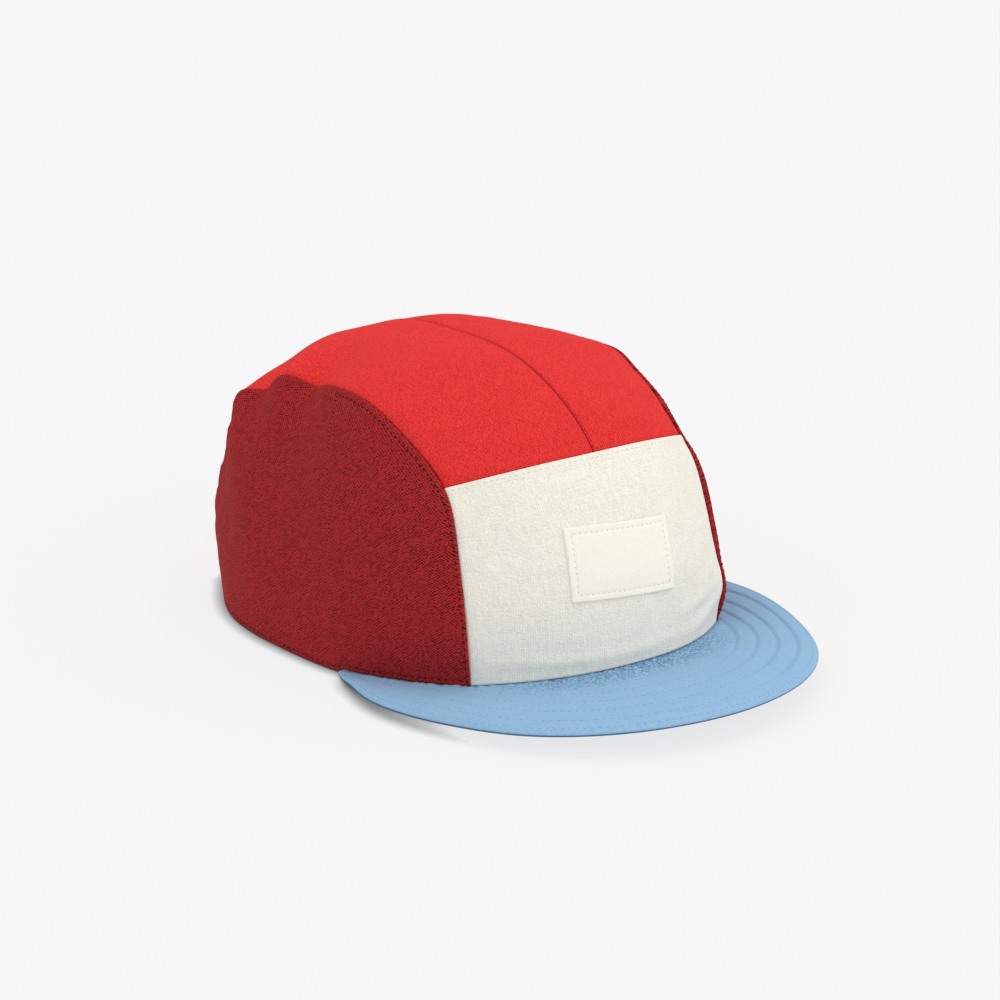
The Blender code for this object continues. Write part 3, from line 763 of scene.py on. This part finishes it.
def makeSidePanel(name, mirrored, seed):
    first = sidePanel["endInset"] / seamRuns[-1]
    stations = np.linspace(first, 1.0 - first, sidePanel["rows"] + 1)
    base = sideGrid(stations, gradedBoth(sidePanel["columns"]))
    top = seamCurve(stations)[:, None, :]
    shared = seamNormals(stations)[:, None, :]
    fromSeam = np.linalg.norm(base - top, axis=-1)
    fromHem = np.linalg.norm(base - base[:, :1], axis=-1)
    normals = turnTowards(gridNormals(base, 1.0), shared, fromSeam, crown["seamTurn"])
    normals = turnUpright(normals, fromHem)
    side = flip if mirrored else 1.0
    gather = gatherAt(stations, fromSeam, not mirrored) * smoothStep(fromHem / puckerTable["foot"])
    calm = smoothStep(fromHem / crown["calmEdge"]) * smoothStep(fromSeam / sidePanel["calmSeam"])
    atSeam = smoothStep(fromSeam / sidePanel["seamReach"])
    crimp = (softNoise(top * side, sidePanel["crimpSize"], seed + 2) * sidePanel["crimp"]
             * np.exp(-fromSeam / sidePanel["crimpSpread"]) * atSeam)
    lift = (softWaves(base * side, sidePanel, seed) * calm + crimp
            + welt(fromSeam, sidePanel["welt"], sidePanel["seamStitch"], sidePanel["weltSlope"])
            + groove(fromSeam, sidePanel["seamStitch"], sidePanel["seamStitchDip"],
                     sidePanel["seamStitchHalf"])
            + roundEdge(fromSeam, sidePanel["seamRound"])
            + groove(fromHem, sidePanel["hemStitch"], sidePanel["hemStitchDip"],
                     sidePanel["hemStitchHalf"])
            + roundEdge(fromHem, sidePanel["hemRound"]))
    # the edge stays clear of the strip: it moves a little down the ribs
    ahead = unit(np.gradient(top[:, 0], axis=0))
    downRib = base[:, -8] - top[:, 0]
    into = unit(np.cross(ahead, shared[:, 0]))
    into = into * np.sign(np.sum(into * downRib, axis=1))[:, None]
    nearSeam = smoothStep(1.0 - fromSeam / sidePanel["seamReach"])
    trim = into[:, None] * (crown["seamGap"] / 2.0 * nearSeam)[..., None]
    moved = base + shared * gather[..., None] + trim
    outer = moved + normals * lift[..., None]
    inner = moved - normals * crown["wall"]
    up = runsAlong(base * np.array([1.0, 0.0, 1.0]), axis=1)
    mesh = meshFromGrids(name, outer, inner, np.stack([base[..., 1], up], axis=-1), mirrored)
    return stations, outer, normals, fromSeam, fromHem, mesh


darkLinen = linenMaterial("darkRedLinen", darkLook)
# near-black thread: its own dark red, darkened further as painted shade of the needle holes
darkThreadWithHoleShade = threadMaterial("darkRedThreadWithHoleShade", (48, 10, 13))
sideStitch = {"pitch": 0.0024, "length": 0.0012, "radius": 0.00027, "proud": 0.50}
hemStitch = {"pitch": 0.0026, "length": 0.0014, "radius": 0.00021, "proud": 0.5}
for side, mirrored, seed in (("right", False, 31), ("left", True, 36)):
    name = "side_panel_" + side + "_cloth"
    stations, outer, normals, fromSeam, fromHem, mesh = makeSidePanel(name, mirrored, seed)
    slot = "side_panel_" + side
    makeObject(name, mesh, darkLinen, [slot])
    turn = flip if mirrored else np.ones(3)
    front = stations < sidePanel["stitchEnd"]
    path, lean = pathAtDistance(outer[front], normals[front], fromSeam[front],
                                sidePanel["seamStitch"])
    stitchRow("side_seam_stitches_" + side, path * turn, lean * turn, sideStitch, darkThreadWithHoleShade)
    path, lean = pathAtDistance(outer, normals, fromHem, sidePanel["hemStitch"])
    stitchRow("side_hem_stitches_" + side, path * turn, lean * turn, hemStitch, darkThreadWithHoleShade)
print("side panels ready")

# Peak

blueLook = {
    "dark": (98, 136, 172), "light": (152, 190, 222), "grain": 4.0,
    "warpPitch": 0.00050, "weftPitch": 0.00054, "drift": 1.0, "slub": 0.06, "overUnderShade": 0.10,
    "roughness": 0.92, "sheen": 0.0, "gloss": 0.2, "tone": 0.72, "slubTone": 0.3, "knotTone": 0.15,
    "raisedYarnShading": 0.15, "pitShade": 0.4, "cloud": 0.10, "bump": 0.25,
    "footShadeTone": -0.38, "footShadeKnots": 1.8,        # painted shade beside the crown's foot, with stronger weave speckle
}
# the same blue linen darkened: painted shade on the underside and the lower rings of the rounded edge
underShadeLook = dict(blueLook, dark=(46, 72, 104), light=(84, 116, 150))
peakSewing = {
    "rows": 440, "columns": 100, "graded": 0.7,
    "edgeRings": 7,             # rings of the rounded edge
    "edgeInLight": 3,           # of these, the ones above the shaded underside
    "rowSpacing": 0.0076, "rowCount": 4, "rowDepth": 0.00070, "rowHalf": 0.0008,
    "flatRows": 0.10, "rowsFrom": 0.012, "rowsOver": 0.035,     # the rows sink in on the right
    "rowsClear": 0.004,
    "edgeStitch": 0.0021, "edgeDepth": 0.00025, "edgeHalf": 0.0006,
    "calmFoot": 0.006, "calmRimStart": 0.0010, "calmRim": 0.001,
    "waves": 0.00015, "waveSize": 0.016, "ripples": 0.00004, "rippleSize": 0.0022,
    # small puckers where the crown is sewn on
    "puckers": 0.00080, "puckerSize": 0.0012, "puckerStart": 0.0010, "puckerReach": 0.006,
    "puckerStretch": 3.0,
    # the band of painted shade beside the crown
    "footShadeReach": 0.017, "footShadeHalf": 0.052, "footShadeFade": 0.026,
    "stitchClear": 0.0026,
}


def footLine(count):
    # the crown's foot, from the middle of the front to where the peak ends
    front = stripGrid(np.array([0.0]), np.linspace(0.0, 1.0, 121))[0]
    side = hemAt(np.linspace(0.0, 0.7, 400))
    side = side[side[:, 1] < -peak["tipReach"]]
    line = np.vstack([front, side[1:]])
    runs = runsAlong(line)
    return alongPath(runs, line, np.linspace(0.0, runs[-1], count + 1))


def rimLine(tip, count):
    # the peak's rim, in evenly spaced points
    deep = crown["frontReach"] + peak["depth"] - peak["tipReach"]
    rows = np.stack([np.array(rimTable["width"]) * peak["halfWidth"],
                     -peak["tipReach"] - np.array(rimTable["depth"]) * deep], axis=1)
    rows = np.vstack([rows, [tip[0] + peak["tipSeat"], tip[1]]])
    full = np.vstack([rows[:0:-1] * np.array([-1.0, 1.0]), rows])
    curve = splineThrough(np.arange(len(full), dtype=float), full)
    line = curve(len(rows) - 1 + np.linspace(0.0, len(rows) - 1.0, 900))
    runs = runsAlong(line)
    return alongPath(runs, line, np.linspace(0.0, runs[-1], count + 1))


def taperAt(y, side):
    # from 0 at a tip of the peak to 1 where it has its full thickness
    return smoothStep((-peak["tipReach"] - y) / peak["rightTaper" if side > 0.0 else "leftTaper"])


def peakWallAt(y, full, side):
    thin = min(peak["tipWall"], full)
    return thin + (full - thin) * taperAt(y, side)


def rimUnderside(rim, side):
    across = np.clip(np.abs(rim[:, 0]) / peak["halfWidth"], 0.0, 1.0)
    sideLift = peak["rightLift" if side > 0.0 else "leftLift"]
    lift = peak["rimMiddleLift"] + (sideLift - peak["rimMiddleLift"]) * across ** 2
    return lift * taperAt(rim[:, 1], side)


def peakHalf(side):
    # from the middle to one tip, each row from under the hem out to the rim
    count = peakSewing["rows"] // 2
    foot = footLine(count)
    rim = rimLine(foot[-1], count)
    along = unit(np.gradient(foot[:, :2], axis=0))
    outward = np.stack([along[:, 1], -along[:, 0]], axis=1)
    outward[0] = [0.0, -1.0]
    inner = foot[:, :2] - outward * crown["wall"]
    innerTop = (foot[:, 2] - crown["gap"])[:, None]
    innerWall = peakWallAt(inner[:, 1], peak["wall"], side)[:, None]
    outerWall = peakWallAt(rim[:, 1], peak["wall"], side)[:, None]
    edgeWall = peakWallAt(rim[:, 1], peak["rimWall"], side)[:, None]
    under = rimUnderside(rim, side)[:, None]
    length = np.linalg.norm(rim - inner, axis=1)
    seat = np.minimum(crown["wall"] / length, peak["mostSeat"])[:, None]
    towards = unit(rim - inner)
    radius = edgeWall / 2.0
    edge = rim - towards * radius
    t = gradedShares(peakSewing["columns"], peakSewing["graded"])[None, :]
    t = t * (1.0 - radius / length[:, None])
    flat = inner[:, None] + (rim - inner)[:, None] * t[..., None]
    calm = smoothStep(peak["swellFade"] * np.linspace(1.0, 0.0, count + 1))[:, None]
    outerTop = np.minimum(under + outerWall, innerTop + peak["tipSlope"] * length[:, None])
    top = (innerTop + (outerTop - innerTop) * smoothStep((t - seat) / (1.0 - seat))
           + peak["swell"] * 4.0 * t * (1.0 - t) * calm)
    wall = np.minimum(innerWall * (1.0 - t) + outerWall * t, top)
    drop = (outerWall - edgeWall) * smoothStep((t - 1.0) / peak["rimSlope"] + 1.0)
    fromRim = np.linalg.norm(rim[:, None] - flat, axis=-1)
    fromFoot = np.linalg.norm(flat - foot[:, None, :2], axis=-1)
    upper = np.concatenate([flat, (top - drop)[..., None]], axis=-1)
    lower = np.concatenate([flat, (top - wall)[..., None]], axis=-1)
    angle = np.linspace(math.pi / 2.0, -math.pi / 2.0, peakSewing["edgeRings"] + 2)[None, 1:-1]
    middle = (upper[:, -1:, 2] + lower[:, -1:, 2]) / 2.0
    tall = (upper[:, -1:, 2] - lower[:, -1:, 2]) / 2.0
    bead = np.concatenate([
        edge[:, None] + towards[:, None] * (radius * np.cos(angle))[..., None],
        (middle + tall * np.sin(angle))[..., None]], axis=-1)
    turn = np.array([side, 1.0, 1.0])
    return upper * turn, lower * turn, bead * turn, fromRim, fromFoot


def peakRelief(upper, fromRim, fromFoot):
    # how far the upper face rises and sinks: waves, puckers and sewing rows
    lift = softWaves(upper, peakSewing, 41) * smoothStep(fromFoot / peakSewing["calmFoot"])
    along = np.repeat(runsAlong(upper[:, 0])[:, None], upper.shape[1], axis=1)
    crimped = np.stack([along, fromFoot / peakSewing["puckerStretch"], 0.0 * along], axis=-1)
    crimp = 0.5 + 0.5 * softNoise(crimped, peakSewing["puckerSize"], 43)
    lift = lift + (crimp * peakSewing["puckers"] * smoothStep(fromFoot / peakSewing["puckerStart"])
                   * smoothStep(1.0 - fromFoot / peakSewing["puckerReach"]))
    sunk = smoothStep((upper[..., 0] - peakSewing["rowsFrom"]) / peakSewing["rowsOver"])
    sunk = peakSewing["flatRows"] + (1.0 - peakSewing["flatRows"]) * sunk
    sunk = sunk * smoothStep(fromFoot / peakSewing["rowsClear"])
    for row in range(1, peakSewing["rowCount"] + 1):
        lift = lift + sunk * groove(fromRim, row * peakSewing["rowSpacing"],
                                    peakSewing["rowDepth"], peakSewing["rowHalf"])
    lift = lift + groove(fromRim, peakSewing["edgeStitch"], peakSewing["edgeDepth"],
                         peakSewing["edgeHalf"])
    return lift * smoothStep((fromRim - peakSewing["calmRimStart"]) / peakSewing["calmRim"])


def footShadeAt(upper, fromFoot):
    # how much painted shade falls on the peak beside the crown's foot
    beside = (peakSewing["footShadeHalf"] - np.abs(upper[..., 0])) / peakSewing["footShadeFade"]
    return smoothStep(1.0 - fromFoot / peakSewing["footShadeReach"]) * smoothStep(beside)


def peakMesh():
    joined = []
    for left, right in zip(peakHalf(-1.0), peakHalf(1.0)):
        middle = (left[:1] + right[:1]) / 2.0
        joined.append(np.concatenate([left[:0:-1], middle, right[1:]]))
    upper, lower, bead, fromRim, fromFoot = joined
    lift = peakRelief(upper, fromRim, fromFoot)
    near = footShadeAt(upper, fromFoot)
    upper = upper + lift[..., None] * np.array([0.0, 0.0, 1.0])
    section = np.concatenate([upper, bead, lower[:, ::-1]], axis=1)
    tall, wide = section.shape[:2]
    topCount = upper.shape[1]
    index = np.arange(tall * wide).reshape(tall, wide)
    after = np.roll(index, -1, axis=1)
    quads = np.stack([index[:-1], after[:-1], after[1:], index[1:]], axis=-1).reshape(-1, 4)
    faces = quads.tolist() + [index[0].tolist()[::-1], index[-1].tolist()]
    # faces below the lit rings take the darker copy: painted shade
    shaded = np.zeros(len(faces), dtype=np.int32)
    inShade = np.arange(wide) >= topCount + peakSewing["edgeInLight"]
    shaded[:len(quads)] = np.tile(inShade, tall - 1)
    points = section.reshape(-1, 3) + np.array([0.0, capMiddleY, 0.0])
    # laid flat: the rounded edge and the underside go on outwards from the upper face
    edge = upper[:, -1, :2]
    away = unit(edge - upper[:, 0, :2])
    around = runsAlong(section[:, topCount - 1:], axis=1)
    beyond = edge[:, None] + away[:, None] * around[..., None]
    flat = np.concatenate([upper[:, :-1, :2], beyond], axis=1).reshape(-1, 2)
    mesh = bpy.data.meshes.new("peak_cloth")
    mesh.from_pydata(points.tolist(), [], faces)
    mesh.polygons.foreach_set("material_index", shaded)
    # painted shade beside the crown's foot, kept on the upper face's points
    footShade = np.zeros((tall, wide), dtype=np.float32)
    footShade[:, :topCount] = near
    mesh.attributes.new("paintedFootShade", "FLOAT", "POINT")
    mesh.attributes["paintedFootShade"].data.foreach_set("value", footShade.reshape(-1))
    layer = mesh.uv_layers.new(name="cloth")
    corners = np.zeros(len(mesh.loops), dtype=np.int32)
    mesh.loops.foreach_get("vertex_index", corners)
    layer.data.foreach_set("uv", flat[corners].astype(np.float32).reshape(-1))
    mesh.shade_smooth()
    mesh.set_sharp_from_angle(angle=math.radians(crown["sharpAngle"]))
    mesh.update()
    return mesh, upper, fromRim, fromFoot


mesh, upper, fromRim, fromFoot = peakMesh()
makeObject("peak_cloth", mesh, linenMaterial("blueLinen", blueLook), ["peak"])
mesh.materials.append(linenMaterial("blueLinenPaintedShade", underShadeLook))
blueThread = threadMaterial("blueThread", (142, 178, 210))
upNormals = gridNormals(upper, 1.0)
upNormals = upNormals * np.sign(upNormals[..., 2:3])
peakStitch = {"pitch": 0.0024, "length": 0.0012, "radius": 0.00012, "proud": 0.2}
for row in range(peakSewing["rowCount"] + 1):
    wanted = peakSewing["edgeStitch"] if row == 0 else row * peakSewing["rowSpacing"]
    clear = np.where(fromFoot > peakSewing["stitchClear"], fromRim, 0.0)
    visible = np.max(clear, axis=1) > wanted
    path, lean = pathAtDistance(upper[visible], upNormals[visible], fromRim[visible], wanted)
    stitchRow("peak_stitches_" + str(row), path, lean, peakStitch, blueThread)
print("peak ready")

# Patch

patchLook = dict(frontLook, dark=(214, 210, 198), light=(244, 240, 228), tone=0.92, overUnderShade=0.1,
                 warpPitch=0.0004, weftPitch=0.0004, slubTone=0.2, pitShade=0.3, bump=0.2)
patch = {
    "width": 0.0405, "height": 0.0247, "wall": 0.0009,
    "up": 0.0358, "across": -0.0013, "tilt": -4.5,
    "rows": 60, "columns": 96, "graded": 0.7, "edgeRound": 0.0005,
    "stitchInset": 0.0023, "stitchDip": 0.0002, "stitchHalf": 0.0005,
    "waves": 0.00012, "waveSize": 0.006,
}


def patchStitchPath(x, h, outer, normals):
    # a rectangle inside the patch's edge, found again on its curved face
    corner = np.array([patch["width"], patch["height"]]) / 2.0 - patch["stitchInset"]
    turns = np.array([[-1, -1], [1, -1], [1, 1], [-1, 1], [-1, -1]]) * corner
    runs = runsAlong(turns)
    ring = alongPath(runs, turns, np.linspace(0.0, runs[-1], 400))
    columnAt = np.interp(ring[:, 0], x[0], np.arange(x.shape[1]))
    rowAt = np.interp(ring[:, 1], h[:, 0], np.arange(h.shape[0]))
    left = np.clip(columnAt.astype(int), 0, x.shape[1] - 2)
    low = np.clip(rowAt.astype(int), 0, x.shape[0] - 2)
    a = (columnAt - left)[:, None]
    b = (rowAt - low)[:, None]
    path = ((outer[low, left] * (1 - a) + outer[low, left + 1] * a) * (1 - b)
            + (outer[low + 1, left] * (1 - a) + outer[low + 1, left + 1] * a) * b)
    return path, normals[low, left]


def makePatch():
    # a sheet that follows the front panel's curve, turned a little askew
    up, across = np.meshgrid(gradedBoth(patch["rows"], patch["graded"]) - 0.5,
                             gradedBoth(patch["columns"], patch["graded"]) - 0.5, indexing="ij")
    x = across * patch["width"]
    h = up * patch["height"]
    turn = math.radians(patch["tilt"])
    turnedX = patch["across"] + x * math.cos(turn) - h * math.sin(turn)
    turnedH = x * math.sin(turn) + h * math.cos(turn)
    stations = np.interp(patch["up"] + turnedH, middleRuns, seamSamples)
    seam = seamCurve(stations.reshape(-1)).reshape(stations.shape + (3,))
    middle = middleCurve(stations.reshape(-1)).reshape(stations.shape + (3,))
    share = turnedX / seam[..., 0]
    base = seam + (middle - seam) * (1.0 - np.abs(share) ** crown["stripRound"])[..., None]
    base[..., 0] = turnedX
    normals = gridNormals(base, -1.0)
    fromEdge = np.minimum(patch["width"] / 2.0 - np.abs(x), patch["height"] / 2.0 - np.abs(h))
    lift = (crown["gap"] + patch["wall"]
            + patch["waves"] * softNoise(base, patch["waveSize"], 51)
            + groove(fromEdge, patch["stitchInset"], patch["stitchDip"], patch["stitchHalf"])
            + roundEdge(fromEdge, patch["edgeRound"]))
    outer = base + normals * lift[..., None]
    inner = base + normals * crown["gap"]
    mesh = meshFromGrids("patch_cloth", outer, inner, np.stack([x, h], axis=-1))
    path, lean = patchStitchPath(x, h, outer, normals)
    return mesh, path, lean


mesh, path, lean = makePatch()
makeObject("patch_cloth", mesh, linenMaterial("patchLinen", patchLook), ["patch"])
patchStitch = {"pitch": 0.0020, "length": 0.0009, "radius": 0.00012, "proud": 0.3}
stitchRow("patch_stitches", path, lean, patchStitch, creamThread)
print("patch ready")

# Floor, light and camera

studio = {
    "floorHalf": 20.0, "floorShade": 0.14, "floorGlow": 0.764,
    "contactReach": 0.005, "contactPower": 1.6,     # the narrow shade under the cap
    "worldStrength": 0.72, "lampSpread": 80.0,
    "keyStrength": 1.05, "keyFrom": (-0.05, 0.22, 0.97), "keyTint": (1.0, 1.0, 1.0),
    "fillStrength": 0.95, "fillFrom": (0.38, -0.84, 0.38), "fillTint": (1.0, 0.97, 0.92),
}
view = {
    "turn": 35.3, "lift": 19.1, "distance": 1.209, "lens": 126.0, "sensor": 36.0,
    "aimHeight": 0.040, "aimRight": 0.00541, "aimUp": 0.00221, "farthest": 100.0,
}


def makeFloor():
    half = studio["floorHalf"]
    mesh = bpy.data.meshes.new("floor")
    corners = [(-half, -half, 0.0), (half, -half, 0.0), (half, half, 0.0), (-half, half, 0.0)]
    mesh.from_pydata(corners, [], [(0, 1, 2, 3)])
    floor = bpy.data.objects.new("floor", mesh)
    bpy.context.scene.collection.objects.link(floor)
    material, tree, shader = plainShader("floorPaint", 0.0)
    shade = studio["floorShade"]
    shader.inputs["Base Color"].default_value = (shade, shade, shade, 1.0)
    # the floor's glow dims beside the cap: painted contact shadow
    contact = addNode(tree, "ShaderNodeAmbientOcclusion",
                      {"Distance": studio["contactReach"]}, samples=8).outputs["AO"]
    contact = calculate(tree, "POWER", contact, studio["contactPower"])
    tree.links.new(contact, shader.inputs["Emission Color"])
    shader.inputs["Emission Strength"].default_value = studio["floorGlow"]
    shader.inputs["Roughness"].default_value = 0.9
    mesh.materials.append(material)


def makeLights():
    world = bpy.data.worlds.new("studioLight")
    world.use_nodes = True
    background = world.node_tree.nodes["Background"]
    background.inputs["Color"].default_value = (1.0, 1.0, 1.0, 1.0)
    background.inputs["Strength"].default_value = studio["worldStrength"]
    bpy.context.scene.world = world
    for name in ("key", "fill"):
        data = bpy.data.lights.new(name + "Light", "SUN")
        data.energy = studio[name + "Strength"]
        data.color = studio[name + "Tint"]
        data.angle = math.radians(studio["lampSpread"])
        lamp = bpy.data.objects.new(name + "Light", data)
        lamp.rotation_euler = Vector(studio[name + "From"]).to_track_quat("Z", "Y").to_euler()
        bpy.context.scene.collection.objects.link(lamp)


def makeCamera():
    turn = math.radians(view["turn"])
    lift = math.radians(view["lift"])
    flat = math.cos(lift)
    towards = Vector((-math.sin(turn) * flat, -math.cos(turn) * flat, math.sin(lift)))
    right = Vector((math.cos(turn), -math.sin(turn), 0.0))
    up = towards.cross(right)
    aim = Vector((0.0, capMiddleY, view["aimHeight"]))
    aim = aim + right * view["aimRight"] + up * view["aimUp"]
    data = bpy.data.cameras.new("photoCamera")
    data.lens = view["lens"]
    data.sensor_width = view["sensor"]
    data.clip_end = view["farthest"]
    camera = bpy.data.objects.new("photoCamera", data)
    camera.location = aim + towards * view["distance"]
    camera.rotation_euler = (-towards).to_track_quat("-Z", "Y").to_euler()
    bpy.context.scene.collection.objects.link(camera)
    bpy.context.scene.camera = camera


makeFloor()
makeLights()
makeCamera()
bpy.context.scene.view_settings.view_transform = "Standard"
print("studio ready")
